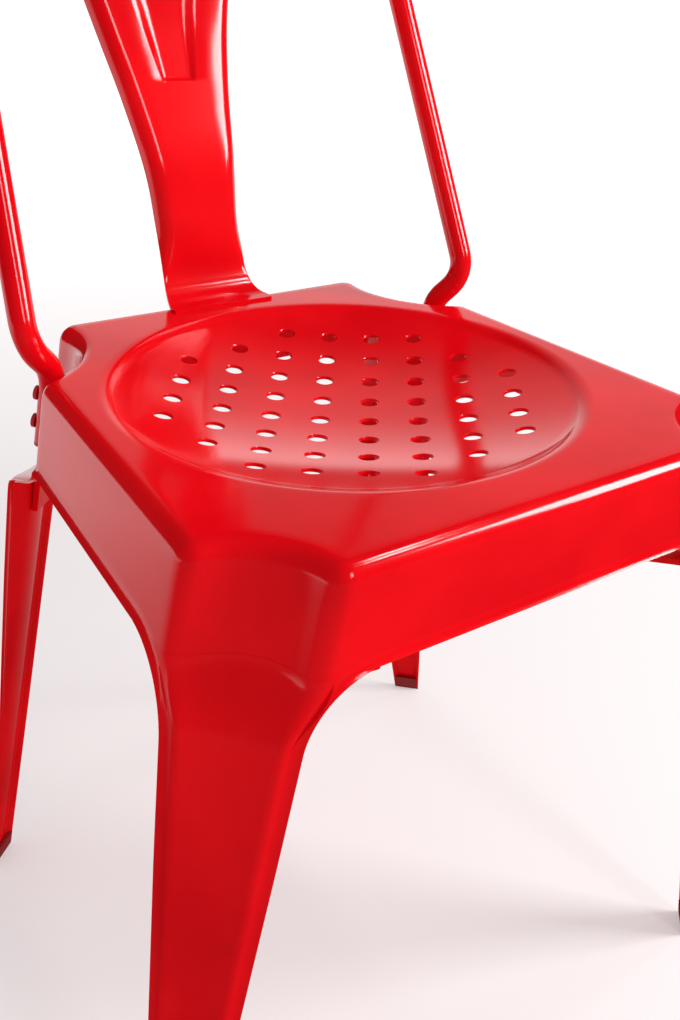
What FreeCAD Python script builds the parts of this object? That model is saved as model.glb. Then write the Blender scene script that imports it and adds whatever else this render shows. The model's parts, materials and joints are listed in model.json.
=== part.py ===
import FreeCAD, Part
import math
import os

# Metal bistro chair: pressed steel sheet seat and legs, bent tube hoop, pressed splat.
# Frame: +Z up, the chair faces -Y, the origin is on the floor under the middle of its box.

doc = FreeCAD.newDocument("bistro_chair")
sheet = doc.addObject("Spreadsheet::Sheet", "sizes")
Vec = FreeCAD.Vector

# Driving sizes in millimetres, slopes as millimetres per millimetre
driving = [
    ("seat_height", 460, "floor to the flat rim of the seat"),
    ("seat_front_width", 346, "over the front corners before they are scooped"),
    ("seat_narrowing", 32, "how much less it measures over the rear corners"),
    ("seat_depth", 360, "front face to rear face"),
    ("apron_height", 55, "flat rim down to the lower edge of the apron"),
    ("apron_draft", 0.2, "outward slope of the apron's two sides"),
    ("skin", 2, "thickness of the pressed sheet"),
    ("edge_radius", 9, "rounding where the rim turns down into the apron"),
    ("scoop_bend", 11, "rounding where an apron turns into a corner scoop"),
    ("front_scoop_radius", 50, "hollow of the front corners, seen from above"),
    ("rear_scoop_radius", 77, "hollow of the rear corners, seen from above"),
    ("rear_scoop_out", 37, "rear hollow's centre outside the side face"),
    ("rear_scoop_in", 25, "rear hollow's centre in front of the rear face"),
    ("dish_side_margin", 16, "dish to the seat's side faces, at the dish's centre"),
    ("dish_end_margin", 31, "dish to the seat's front and rear faces"),
    ("dish_roll", 10, "width of the rolled step between flat rim and dish"),
    ("dish_step_drop", 3, "height of the rolled step"),
    ("dish_depth", 22, "flat rim down to the lowest point"),
    ("dish_behind_middle", 2, "dish centre behind the middle of the seat"),
    ("drain_radius", 5.5, "radius of one hole in the dish"),
    ("drain_rows", 8, "holes along each side of the grid"),
    ("drain_margin", 20, "outermost holes to the rolled step"),
    ("drain_turn", -35, "turn of the hole grid, degrees"),
    ("joggle_height", 3, "height of the step where a leg tucks behind the apron"),
    ("tuck_height", 34, "how far a leg reaches up behind the apron"),
    ("fit_gap", 0.3, "clearance between pieces that nest"),
    ("leg_splay_side", 0.14, "sideways splay of all legs"),
    ("front_leg_splay", 0.01, "forward splay of the front legs"),
    ("rear_leg_splay", 0.03, "backward splay of the rear legs"),
    ("leg_foot_width", 17, "one flange of a leg at the floor"),
    ("leg_knee_width", 46.5, "one flange of a leg at the knee"),
    ("knee_drop", 36, "apron's lower edge down to the knee"),
    ("flute_knee", 37.5, "reach of the flute along a flange at the knee"),
    ("flute_foot", 9.5, "reach of the flute along a flange at the floor"),
    ("flute_centre_out", 19, "flute's centre outside the leg's corner"),
    ("leg_bend", 5.5, "rounding beside the flute on the leg"),
    ("arch_radius", 45, "curve from the apron's lower edge into a leg"),
    ("wing_width", 78, "flange of a leg where it meets the apron"),
    ("wing_margin", 18, "least flat of that flange beyond the scoop"),
    ("glide_sole", 4, "rubber below the leg"),
    ("glide_plug", 12, "height of the rubber plug inside the leg"),
    ("plug_gap", 0.5, "clearance of that plug in the leg"),
    ("tube_radius", 8, "back hoop's tube"),
    ("tube_wall", 1.5, "wall of the tube"),
    ("tube_bearing", 46, "from a rear hollow's centre to the tube, degrees from straight ahead"),
    ("hoop_beside_seat", 5.7, "tube axis outside the seat's side face at seat height"),
    ("hoop_narrowing", 0.08, "how fast the two sides close upwards"),
    ("hoop_from_rear", 96, "tube axis in front of the seat's rear face at seat height"),
    ("hoop_lean", 0.45, "backward lean of the hoop"),
    ("hoop_height", 842, "floor to the tube axis at the top"),
    ("hoop_top_radius", 112, "curve of the hoop's shoulders"),
    ("hoop_crank_radius", 24, "curve of the cranks above the seat"),
    ("crank_low", 4, "seat rim down to the lower corner of the crank"),
    ("crank_high", 20, "seat rim up to the upper corner of the crank"),
    ("hoop_end_drop", 50, "seat rim down to the tube's end"),
    ("splat_base_width", 78, "flare on the seat"),
    ("splat_neck_width", 65, "narrowest place"),
    ("splat_top_width", 186, "just under the hoop"),
    ("splat_top_slope", 0.1, "backward lean of the splat where it meets the hoop"),
    ("splat_top_edge", 5, "splat's top edge above the tube's axis"),
    ("splat_rivet_spacing", 20, "between the rivets at the splat's top"),
    ("splat_edge_radius", 12, "rolled long edges"),
    ("splat_lip", 2, "straight end of the rolled edge"),
    ("splat_foot_reach", 9, "flap that lies on the seat"),
    ("splat_foot_radius", 22, "curl from the flap up into the splat"),
    ("splat_foot_inset", 9, "flap's curl starts in front of the rear face"),
    ("panel_low_margin", 122, "blade's lower end up to the pressed panel"),
    ("panel_high_margin", 35, "panel's upper end up to the blade's upper end"),
    ("panel_depth", 3, "depth of the pressed panel"),
    ("panel_base_width", 19, "pressed panel at its lower end"),
    ("panel_top_width", 118, "pressed panel at its upper end"),
    ("panel_wall", 4, "slope of the panel's sides, seen from the front"),
    ("brace_width", 20, "flat brace under the seat"),
    ("brace_thickness", 4, "thickness of the flat brace"),
    ("brace_drop", 42, "apron's lower edge down to the braces"),
    ("brace_tab", 24, "height of the turned end of a brace"),
    ("rivet_radius", 2.5, "shank of a rivet"),
    ("rivet_head_radius", 4.6, "head of a rivet"),
    ("rivet_head_height", 1.8, "height of a rivet's head"),
    ("screw_radius", 2.5, "shank of a hoop screw"),
    ("screw_head_radius", 4.6, "head of a hoop screw"),
    ("screw_head_height", 2.2, "height of a hoop screw's head"),
    ("screw_pitch", 18, "between the two screws of one tube end"),
    ("screw_low", 12, "tube's end up to its lower screw"),
    ("socket_radius", 2, "across the corners of a screw's socket, halved"),
    ("socket_depth", 1.6, "depth of a screw's socket"),
    ("washer_radius", 5, "washer under a hoop nut"),
    ("washer_height", 1, "thickness of a washer"),
    ("nut_radius", 4.6, "across the corners of a hoop nut, halved"),
    ("plug_rim", 2, "rim of a tube plug below the tube"),
    ("plug_stem", 8, "stem of a tube plug inside the tube"),
    ("nut_height", 4, "height of a hoop nut"),
    ("hole_clearance", 0.25, "added to a shank's radius to make its hole"),
]
for row, (alias, value, note) in enumerate(driving, start=1):
    sheet.set(f"A{row}", alias)
    sheet.set(f"B{row}", str(value))
    sheet.setAlias(f"B{row}", alias)
    sheet.set(f"C{row}", note)
doc.recompute()


def size(alias):
    return float(sheet.get(alias))


pieces = []


def add_piece(name, shape):
    """Sub-part of pressed or moulded shape, worked out below from the sheet's sizes."""
    piece = doc.addObject("Part::Feature", name)
    piece.Shape = shape
    return finished(piece)


def finished(piece):
    piece.Label = piece.Name
    pieces.append(piece)
    return piece


def bound(kind, name, **formulas):
    """Object whose sizes follow the sheet's cells."""
    item = doc.addObject(kind, name)
    for prop, formula in formulas.items():
        item.setExpression(prop, formula)
    return item


def moved(item, *placements):
    whole = FreeCAD.Placement()
    for placement in placements:
        whole = whole.multiply(placement)
    item.Placement = whole
    return item


def lift(height):
    return FreeCAD.Placement(Vec(0, 0, height), FreeCAD.Rotation())


def joined(name, items):
    item = doc.addObject("Part::MultiFuse", name)
    item.Shapes = items
    return item


def cut_out(name, base, tool):
    item = doc.addObject("Part::Cut", name)
    item.Base = base
    item.Tool = tool
    return item


def grouped(name, items):
    item = doc.addObject("Part::Compound", name)
    item.Links = items
    return item


# Levels and places that several pieces share
seat_height = size("seat_height")
skin = size("skin")
gap = size("fit_gap")
apron_low = seat_height - size("apron_height")
knee_level = apron_low - size("knee_drop")
half_depth = size("seat_depth") / 2
front_half = size("seat_front_width") / 2
rear_half = front_half - size("seat_narrowing") / 2
side_slope = (front_half - rear_half) / size("seat_depth")


def half_width(y):
    """Middle to side face at the level of the flat rim."""
    return (front_half + rear_half) / 2 - side_slope * y


# The dish is round, so the nearer pair of faces sets its size
dish_y = size("dish_behind_middle")
dish_rim = min(half_width(dish_y) - size("dish_side_margin"), half_depth - size("dish_end_margin"))
dish_step = dish_rim - size("dish_roll")


class Corner:
    """One scooped corner seen from above: two straight faces with a round hollow between them."""

    def __init__(self, side, end):
        self.side = side
        self.end = end
        other = Vec(side * half_width(-end * half_depth), -end * half_depth, 0)
        self.along_end = Vec(-side, 0, 0)
        self.along_side = (other - self.tip(seat_height)).normalize()
        self.into_end = Vec(0, -end, 0)
        inward = Vec(-self.along_side.y, self.along_side.x, 0)
        self.into_side = inward if inward.x * side < 0 else inward * -1

    def tip(self, level):
        """Where the two faces would meet; the apron's sides lean out below the rim."""
        lean = size("apron_draft") * (seat_height - level)
        return Vec(self.side * (half_width(self.end * half_depth) + lean), self.end * half_depth, 0)

    def hollow_centre(self, tip, across, along):
        return tip + self.along_end * across + self.along_side * along

    def points(self, tip, centre, radius, bend, offset):
        """Seven points of the profile, from the end face round the hollow to the side face."""

        def bend_centre(direction, normal):
            start = tip + normal * bend - centre
            reach = start.dot(direction)
            root = math.sqrt(reach ** 2 - (start.dot(start) - (radius + bend) ** 2))
            return tip + normal * bend + direction * (root - reach)

        first = bend_centre(self.along_end, self.into_end)
        last = bend_centre(self.along_side, self.into_side)
        small = bend - offset
        large = radius + offset

        def three(middle, normal):
            flat = middle - normal * small
            inward = (centre - middle).normalize()
            meet = middle + inward * small
            halfway = middle + (inward - normal).normalize() * small
            return flat, halfway, meet

        end_flat, end_mid, end_meet = three(first, self.into_end)
        side_flat, side_mid, side_meet = three(last, self.into_side)
        spread = ((end_meet - centre) + (side_meet - centre)).normalize()
        hollow_mid = centre + spread * large
        return [end_flat, end_mid, end_meet, hollow_mid, side_meet, side_mid, side_flat]

    def edges(self, points):
        a, ab, b, bc, c, cd, d = points
        return [Part.Arc(a, ab, b).toShape(), Part.Arc(b, bc, c).toShape(), Part.Arc(c, cd, d).toShape()]

    def seat_hollow(self, level):
        """Centre and radius of this corner's hollow in the seat."""
        tip = self.tip(level)
        if self.end < 0:
            return tip, size("front_scoop_radius")
        centre = self.hollow_centre(tip, -size("rear_scoop_out"), size("rear_scoop_in"))
        return centre, size("rear_scoop_radius")

    def seat_points(self, offset, level):
        centre, radius = self.seat_hollow(level)
        return self.points(self.tip(level), centre, radius, size("scoop_bend"), offset)


corners = {
    "front_left": Corner(-1, -1),
    "front_right": Corner(1, -1),
    "rear_right": Corner(1, 1),
    "rear_left": Corner(-1, 1),
}


def lifted(points, level):
    return [Vec(p.x, p.y, level) for p in points]


def seat_outline(offset, level):
    """Closed outline of the seat, inside its outer face by offset."""
    edges = []
    previous = None
    first = None
    for name in ("front_left", "front_right", "rear_right", "rear_left"):
        corner = corners[name]
        profile = lifted(corner.seat_points(offset, level), level)
        # Round the seat the profile is met alternately from its side face and from its end face
        if name in ("front_left", "rear_right"):
            profile = profile[::-1]
        if previous:
            edges.append(Part.LineSegment(previous, profile[0]).toShape())
        edges.extend(corner.edges(profile))
        previous = profile[-1]
        first = first or profile[0]
    edges.append(Part.LineSegment(previous, first).toShape())
    return Part.Wire(edges)


def seat_block(offset, top, bottom, rounding):
    """Solid of the seat's outside, or of its inside, with the rim rounded over."""
    block = Part.makeLoft([seat_outline(offset, bottom), seat_outline(offset, top)], True, True)
    rim = []
    for edge in block.Edges:
        if abs(edge.BoundBox.ZMin - top) < 0.001 and abs(edge.BoundBox.ZMax - top) < 0.001:
            rim.append(edge)
    return block.makeFillet(rounding, rim)


def dish_lens(offset, level):
    """Solid that hollows the dish: what lies above the sheet's face, offset below it."""
    rim = dish_rim
    step = dish_step
    step_level = level - size("dish_step_drop") - offset
    low = level - size("dish_depth") - offset
    # Halfway along its width the rolled step has come down by a third
    roll_mid = Vec((rim + step) / 2, 0, level - offset - size("dish_step_drop") / 3)
    sphere = (step ** 2 + (step_level - low) ** 2) / (2 * (step_level - low))
    half_angle = math.asin(step / sphere) / 2
    bowl_mid = Vec(sphere * math.sin(half_angle), 0, low + sphere * (1 - math.cos(half_angle)))
    headroom = level + skin
    middle = Vec(0, 0, low)
    corner = Vec(step, 0, step_level)
    outside = Vec(rim, 0, level - offset)
    edges = [
        Part.Arc(middle, bowl_mid, corner).toShape(),
        Part.Arc(corner, roll_mid, outside).toShape(),
        Part.LineSegment(outside, Vec(rim, 0, headroom)).toShape(),
        Part.LineSegment(Vec(rim, 0, headroom), Vec(0, 0, headroom)).toShape(),
        Part.LineSegment(Vec(0, 0, headroom), middle).toShape(),
    ]
    lens = Part.Face(Part.Wire(edges)).revolve(Vec(0, 0, 0), Vec(0, 0, 1), 360)
    lens.translate(Vec(0, dish_y, 0))
    return lens


def drain_holes():
    """Square grid without its corners, turned against the seat."""
    turn = math.radians(size("drain_turn"))
    rows = int(round(size("drain_rows")))
    middle = (rows - 1) / 2
    # The outermost holes that stay lie in the outer row, two places from the grid's corners
    reach = math.hypot(middle, middle - 2)
    pitch = (dish_step - size("drain_margin") - size("drain_radius")) / reach
    holes = []
    for column in range(rows):
        for line in range(rows):
            across = column - middle
            along = line - middle
            if math.hypot(across, along) > reach + 0.01:
                continue
            x = pitch * (across * math.cos(turn) - along * math.sin(turn))
            y = pitch * (across * math.sin(turn) + along * math.cos(turn)) + dish_y
            drill = Part.makeCylinder(
                size("drain_radius"), size("apron_height"), Vec(x, y, apron_low), Vec(0, 0, 1))
            holes.append(drill)
    return holes


# Tube path of the back hoop
tube_radius = size("tube_radius")
tube_end_level = seat_height - size("hoop_end_drop")
tube_lean = math.hypot(1, size("apron_draft"))
bearing = math.radians(size("tube_bearing"))
hoop_y = half_depth - size("hoop_from_rear")
hoop_half = half_width(hoop_y) + size("hoop_beside_seat")


def into_seat(side):
    return Vec(-side * math.sin(bearing), -math.cos(bearing), 0)


def tube_axis(side, level):
    """Axis of a tube's lower end, which leans with the rear scoop that it sits in."""
    centre, radius = corners["rear_right"].seat_hollow(level)
    place = centre + into_seat(1) * (radius - (tube_radius + gap) * tube_lean)
    return Vec(side * place.x, place.y, level)


def tube_up(side):
    return Vec(-side * size("apron_draft"), 0, 1).normalize()


def tube_end(side):
    """Place of a tube's lower end, turned so that +Z runs up the tube."""
    return FreeCAD.Placement(tube_axis(side, tube_end_level), FreeCAD.Rotation(Vec(0, 0, 1), tube_up(side)))


def hoop_point(side, level):
    rise = level - seat_height
    return Vec(side * (hoop_half - size("hoop_narrowing") * rise), hoop_y + size("hoop_lean") * rise, level)


def hoop_corners():
    right = [
        tube_axis(1, tube_end_level),
        tube_axis(1, seat_height - size("crank_low")),
        hoop_point(1, seat_height + size("crank_high")),
        hoop_point(1, size("hoop_height")),
    ]
    left = [Vec(-p.x, p.y, p.z) for p in reversed(right)]
    return right + left


def rounded_path(points, radii):
    """Straight runs joined by tangent arcs."""
    edges = []
    start = points[0]
    for here, after, radius in zip(points[1:-1], points[2:], radii):
        before_dir = (here - start).normalize()
        after_dir = (after - here).normalize()
        half_turn = before_dir.getAngle(after_dir) / 2
        cut = radius * math.tan(half_turn)
        arc_in = here - before_dir * cut
        arc_out = here + after_dir * cut
        to_centre = (after_dir - before_dir).normalize()
        arc_mid = here + to_centre * (radius / math.cos(half_turn) - radius)
        edges.append(Part.LineSegment(start, arc_in).toShape())
        edges.append(Part.Arc(arc_in, arc_mid, arc_out).toShape())
        start = arc_out
    edges.append(Part.LineSegment(start, points[-1]).toShape())
    return Part.Wire(edges)


def leg_apex(corner, level):
    """The leg's outer corner at a level: it follows the apron, and is splayed below it."""
    if level > apron_low:
        return corner.tip(level)
    drop = apron_low - level
    fore_aft = size("front_leg_splay") if corner.end < 0 else size("rear_leg_splay")
    splay = Vec(corner.side * size("leg_splay_side"), corner.end * fore_aft, 0)
    return corner.tip(apron_low) + splay * drop


def wings(corner):
    """Untrimmed width of a leg's two flanges, past the arch and past the seat's scoop."""
    profile = corner.seat_points(0, seat_height)
    widths = []
    for flat in (profile[0], profile[-1]):
        reach = (flat - corner.tip(seat_height)).Length + size("wing_margin")
        widths.append(max(size("wing_width"), reach))
    return widths


def leg_section(corner, level, hollow, bend, offset):
    """Closed section of the sheet: outer face at offset, inner face one skin further in."""
    apex = leg_apex(corner, level)
    across, along, radius = hollow
    centre = corner.hollow_centre(apex, across, along)
    outer = lifted(corner.points(apex, centre, radius, bend, offset), level)
    inner = lifted(corner.points(apex, centre, radius, bend, offset + skin), level)
    end_wing, side_wing = wings(corner)
    end_tip = apex + corner.along_end * end_wing
    side_tip = apex + corner.along_side * side_wing
    end_out, end_in = lifted(
        [end_tip + corner.into_end * offset, end_tip + corner.into_end * (offset + skin)], level)
    side_out, side_in = lifted(
        [side_tip + corner.into_side * offset, side_tip + corner.into_side * (offset + skin)], level)
    edges = [Part.LineSegment(end_out, outer[0]).toShape()]
    edges.extend(corner.edges(outer))
    edges.append(Part.LineSegment(outer[-1], side_out).toShape())
    edges.append(Part.LineSegment(side_out, side_in).toShape())
    edges.append(Part.LineSegment(side_in, inner[-1]).toShape())
    edges.extend(corner.edges(inner[::-1]))
    edges.append(Part.LineSegment(inner[0], end_in).toShape())
    edges.append(Part.LineSegment(end_in, end_out).toShape())
    return Part.Wire(edges)


def flute(level):
    """Hollow across a leg below the knee; its reach along both flanges grows with the level."""
    foot = size("flute_foot")
    sole = size("glide_sole")
    reach = foot + (size("flute_knee") - foot) * (level - sole) / (knee_level - sole)
    out = size("flute_centre_out")
    return -out, -out, math.hypot(reach + out, out)


def flange_width(level):
    """Width of one flange of a leg, from its corner to its free edge."""
    foot = size("leg_foot_width")
    knee = size("leg_knee_width")
    return foot + (knee - foot) * level / knee_level


def arch_outline(corner, along, level_low):
    """Free edge of one flange as points in a vertical plane: reach from the middle, and level."""
    high = apron_low + skin

    def edge_at(level):
        apex = leg_apex(corner, level)
        reach = abs(apex.x) if along == "end" else abs(apex.y)
        return Vec(reach - flange_width(level), 0, level)

    low = edge_at(level_low)
    knee = edge_at(knee_level)
    slope = (knee.x - low.x) / (knee.z - low.z)
    meet = Vec(low.x + slope * (high - low.z), 0, high)
    up = (knee - low).normalize()
    inward = Vec(-1, 0, 0)
    half_turn = up.getAngle(inward) / 2
    radius = size("arch_radius")
    cut = radius * math.tan(half_turn)
    arc_low = meet - up * cut
    arc_high = meet + inward * cut
    arc_mid = meet + (inward - up).normalize() * (radius / math.cos(half_turn) - radius)
    return low, arc_low, arc_mid, arc_high


def arch_cutter(corner, along):
    """Solid that trims one flange along its free edge and the arch above it."""
    low, arc_low, arc_mid, arc_high = arch_outline(corner, along, -size("glide_sole"))
    far_high = Vec(0, 0, arc_high.z)
    far_low = Vec(0, 0, low.z)
    thick = 4 * half_depth
    sign = corner.side if along == "end" else corner.end

    def place(p):
        if along == "end":
            return Vec(sign * p.x, -thick / 2, p.z)
        return Vec(-thick / 2, sign * p.x, p.z)

    low, arc_low, arc_mid, arc_high, far_high, far_low = [
        place(p) for p in (low, arc_low, arc_mid, arc_high, far_high, far_low)]
    edges = [
        Part.LineSegment(low, arc_low).toShape(),
        Part.Arc(arc_low, arc_mid, arc_high).toShape(),
        Part.LineSegment(arc_high, far_high).toShape(),
        Part.LineSegment(far_high, far_low).toShape(),
        Part.LineSegment(far_low, low).toShape(),
    ]
    direction = Vec(0, thick, 0) if along == "end" else Vec(thick, 0, 0)
    return Part.Face(Part.Wire(edges)).extrude(direction)


def leg_hollows(corner):
    """Hollow, bend and offset of the leg's sheet at each level, from the sole up."""
    if corner.end < 0:
        top = (0, 0, size("front_scoop_radius"))
    else:
        top = (-size("rear_scoop_out"), size("rear_scoop_in"), size("rear_scoop_radius"))
    bend = size("scoop_bend")
    tucked = skin + gap
    return [
        (size("glide_sole"), flute(size("glide_sole")), size("leg_bend"), 0),
        (knee_level, flute(knee_level), size("leg_bend"), 0),
        (apron_low - size("joggle_height"), top, bend, 0),
        (apron_low - gap, top, bend, tucked),
        (apron_low + size("tuck_height"), top, bend, tucked),
    ]


def leg(corner):
    sections = []
    for level, hollow, bend, offset in leg_hollows(corner):
        sections.append(leg_section(corner, level, hollow, bend, offset))
    body = None
    for lower, upper in zip(sections[:-1], sections[1:]):
        stage = Part.makeLoft([lower, upper], True, True)
        body = stage if body is None else body.fuse(stage)
    body = body.cut(arch_cutter(corner, "end"))
    body = body.cut(arch_cutter(corner, "side"))
    return body.removeSplitter()


def glide(corner):
    """Rubber foot: a sole as wide as the leg, and a plug inside the leg's channel."""
    sole_top = size("glide_sole")

    def outline(level, offset):
        apex = leg_apex(corner, level)
        across, along, radius = flute(level)
        centre = corner.hollow_centre(apex, across, along)
        points = lifted(corner.points(apex, centre, radius, size("leg_bend"), offset), level)
        width = flange_width(level)
        end_tip = apex + corner.along_end * width + corner.into_end * offset
        side_tip = apex + corner.along_side * width + corner.into_side * offset
        end_tip, side_tip = lifted([end_tip, side_tip], level)
        edges = [Part.LineSegment(end_tip, points[0]).toShape()]
        edges.extend(corner.edges(points))
        edges.append(Part.LineSegment(points[-1], side_tip).toShape())
        edges.append(Part.LineSegment(side_tip, end_tip).toShape())
        return Part.Wire(edges)

    sole = Part.makeLoft([outline(0, 0), outline(sole_top, 0)], True, True)
    inside = skin + size("plug_gap")
    plug = Part.makeLoft(
        [outline(sole_top, inside), outline(sole_top + size("glide_plug"), inside)], True, True)
    return sole.fuse(plug)


# Screws that hold the hoop's ends in the rear scoops, through tube, apron and leg
screw_levels = [
    tube_end_level + size("screw_low"),
    tube_end_level + size("screw_low") + size("screw_pitch"),
]
tube_stack = 2 * tube_radius + gap
screw_stack = tube_radius + (tube_radius + gap) * tube_lean + skin + gap + skin + gap


def screw_places():
    """Outer end of each screw's grip, turned so that +Z runs square to the tube into the seat."""
    places = []
    for side in (-1, 1):
        up = tube_up(side)
        inward = into_seat(side) - up * into_seat(side).dot(up)
        inward.normalize()
        for level in screw_levels:
            start = tube_axis(side, level) - inward * tube_radius
            places.append(FreeCAD.Placement(start, FreeCAD.Rotation(Vec(0, 0, 1), inward)))
    return places


def screw_holes():
    """Drill for every screw, a little longer than its grip at both ends."""
    radius = size("screw_radius") + size("hole_clearance")
    drills = []
    for place in screw_places():
        drill = Part.makeCylinder(radius, screw_stack + 2 * skin, Vec(0, 0, -skin))
        drill.Placement = place
        drills.append(drill)
    return Part.makeCompound(drills)


# Back splat: its middle line seen from the side, and its widths
splat_plane = half_depth - size("splat_foot_inset")
splat_base = seat_height + skin + size("splat_foot_radius")
splat_stand = splat_plane + size("splat_foot_radius")
top_along = Vec(0, size("splat_top_slope"), 1).normalize()
top_back = Vec(0, top_along.z, -top_along.y)
tube_top = Vec(0, hoop_point(1, size("hoop_height")).y, size("hoop_height"))
splat_top = tube_top + top_back * (tube_radius + gap)

# Share of the height, distance behind a straight line, share of the widening
splat_stations = [
    (0.0, 0, 0.01),
    (0.1, -5, 0.0),
    (0.2, -5, 0.045),
    (0.32, 4, 0.145),
    (0.45, 13, 0.306),
    (0.6, 14, 0.54),
    (0.75, 10, 0.77),
    (0.9, 3.4, 0.945),
    (1.0, 0, 1.0),
]
splat_steps = 28
curl_steps = 8


def splat_line():
    """Points of the splat's front face on the middle plane, each with the splat's width."""
    neck = size("splat_neck_width")
    guides = []
    for share, behind, widening in splat_stations:
        level = splat_base + (splat_top.z - splat_base) * share
        y = splat_stand + (splat_top.y - splat_stand) * share + behind
        guides.append(Vec(neck + (size("splat_top_width") - neck) * widening, y, level))
    curve = Part.BSplineCurve()
    curve.interpolate(guides)
    stations = []
    for guide in curve.discretize(Number=splat_steps):
        stations.append((Vec(0, guide.y, guide.z), guide.x))
    stations.append((splat_top + top_along * 2 * tube_radius, size("splat_top_width")))
    return stations


def splat_front(stations, index):
    """Direction out of the splat's front face."""
    if index == 0:
        along = Vec(0, 0, 1)
    elif index >= len(stations) - 2:
        along = top_along
    else:
        along = (stations[index + 1][0] - stations[index - 1][0]).normalize()
    return Vec(0, -along.z, along.y)


def splat_section(point, front, width):
    """Sheet section: flat middle with both long edges rolled towards the back."""
    radius = size("splat_edge_radius")
    lip = size("splat_lip")
    flat = width / 2 - radius
    eighth = math.sqrt(0.5)

    def at(x, depth):
        return point + Vec(x, 0, 0) - front * depth

    def rolled_edge(side, inset):
        """Start, middle and finish of the roll, and the end of its straight lip."""
        bend = radius - inset
        return [
            at(side * flat, inset),
            at(side * (flat + bend * eighth), radius - bend * eighth),
            at(side * (flat + bend), radius),
            at(side * (flat + bend), radius + lip),
        ]

    outer_left = rolled_edge(-1, 0)
    outer_right = rolled_edge(1, 0)
    inner_left = rolled_edge(-1, skin)
    inner_right = rolled_edge(1, skin)
    edges = [
        Part.LineSegment(outer_left[0], outer_right[0]).toShape(),
        Part.Arc(*outer_right[:3]).toShape(),
        Part.LineSegment(outer_right[2], outer_right[3]).toShape(),
        Part.LineSegment(outer_right[3], inner_right[3]).toShape(),
        Part.LineSegment(inner_right[3], inner_right[2]).toShape(),
        Part.Arc(inner_right[2], inner_right[1], inner_right[0]).toShape(),
        Part.LineSegment(inner_right[0], inner_left[0]).toShape(),
        Part.Arc(*inner_left[:3]).toShape(),
        Part.LineSegment(inner_left[2], inner_left[3]).toShape(),
        Part.LineSegment(inner_left[3], outer_left[3]).toShape(),
        Part.LineSegment(outer_left[3], outer_left[2]).toShape(),
        Part.Arc(outer_left[2], outer_left[1], outer_left[0]).toShape(),
    ]
    return Part.Wire(edges)


def splat_blade():
    stations = splat_line()
    wires = []
    for index, (point, width) in enumerate(stations):
        wires.append(splat_section(point, splat_front(stations, index), width))
    return Part.makeLoft(wires, True, True)


def flat_section(near, far, half):
    """Closed rectangle across the splat between a near and a far line."""
    across = Vec(half, 0, 0)
    corner_points = [near - across, near + across, far + across, far - across, near - across]
    return Part.makePolygon(corner_points)


def panel_band(depth_near, depth_far, margin):
    """Slab that follows the splat over the pressed panel's length, between two depths."""
    stations = splat_line()
    low = splat_base + size("panel_low_margin")
    high = splat_top.z - size("panel_high_margin")
    inside = []
    for index, (point, width) in enumerate(stations):
        if low <= point.z <= high:
            inside.append((point, splat_front(stations, index)))
    base = size("panel_base_width")
    wires = []
    for index, (point, front) in enumerate(inside):
        share = index / (len(inside) - 1)
        half = (base + (size("panel_top_width") - base) * share) / 2 + margin
        along = Vec(0, front.z, -front.y)
        if index == 0:
            point = point - along * margin
        if index == len(inside) - 1:
            point = point + along * margin
        wires.append(flat_section(point - front * depth_near, point - front * depth_far, half))
    return Part.makeLoft(wires, True, True)


def splat_foot():
    """Quarter curl down from the blade, flaring, and the flap that lies on the seat."""
    radius = size("splat_foot_radius")
    base_half = size("splat_base_width") / 2
    neck_half = splat_line()[0][1] / 2
    centre = Vec(0, splat_plane, seat_height + skin + radius)
    wires = []
    for step in range(curl_steps + 1):
        share = step / curl_steps
        turn = math.pi / 2 * share
        half = neck_half + (base_half - neck_half) * share ** 2
        outward = Vec(0, math.cos(turn), -math.sin(turn))
        wires.append(flat_section(centre + outward * radius, centre + outward * (radius + skin), half))
    curl = Part.makeLoft(wires, True, True)
    reach = size("splat_foot_reach")
    flap = Part.makeBox(2 * base_half, reach, skin, Vec(-base_half, splat_plane - reach, seat_height))
    return curl.fuse(flap)


def inside_hoop():
    """Prism that keeps what lies inside the hoop, up to a little above the tube's axis."""
    edge = size("splat_top_edge")
    low = apron_low
    high = size("hoop_height") + edge
    outward = Vec(edge, 0, 0)
    points = [hoop_point(1, low) + outward, hoop_point(1, high) + outward]
    points += [hoop_point(-1, high) - outward, hoop_point(-1, low) - outward]
    radius = size("hoop_top_radius") + edge
    path = rounded_path(points, [radius, radius])
    ends = Part.LineSegment(points[-1], points[0]).toShape()
    normal = Vec(0, 1, -size("hoop_lean")).normalize()
    reach = size("seat_depth")
    face = Part.Face(Part.Wire(path.Edges + [ends]))
    face.translate(normal * -reach)
    return face.extrude(normal * 2 * reach)


def splat_rivet_places():
    """Front end of each rivet's grip, turned so that +Z runs backwards through tube and splat."""
    spacing = size("splat_rivet_spacing")
    turn = FreeCAD.Rotation(Vec(0, 0, 1), top_back)
    front = tube_top - top_back * tube_radius
    return [FreeCAD.Placement(front + Vec(x, 0, 0), turn) for x in (-spacing, 0, spacing)]


def splat_rivet_holes():
    radius = size("rivet_radius") + size("hole_clearance")
    drills = []
    for place in splat_rivet_places():
        drill = Part.makeCylinder(radius, tube_stack + 3 * skin, Vec(0, 0, -skin))
        drill.Placement = place
        drills.append(drill)
    return Part.makeCompound(drills)


def back_splat():
    """Blade with rolled edges and a pressed panel, on a curl that ends in a flap on the seat."""
    depth = size("panel_depth")
    recess = panel_band(-skin, depth, 0)
    tray = panel_band(skin, depth + skin, size("panel_wall")).cut(recess)
    shape = splat_blade().cut(recess).fuse([tray, splat_foot()])
    return shape.common(inside_hoop()).cut(splat_rivet_holes())


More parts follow.
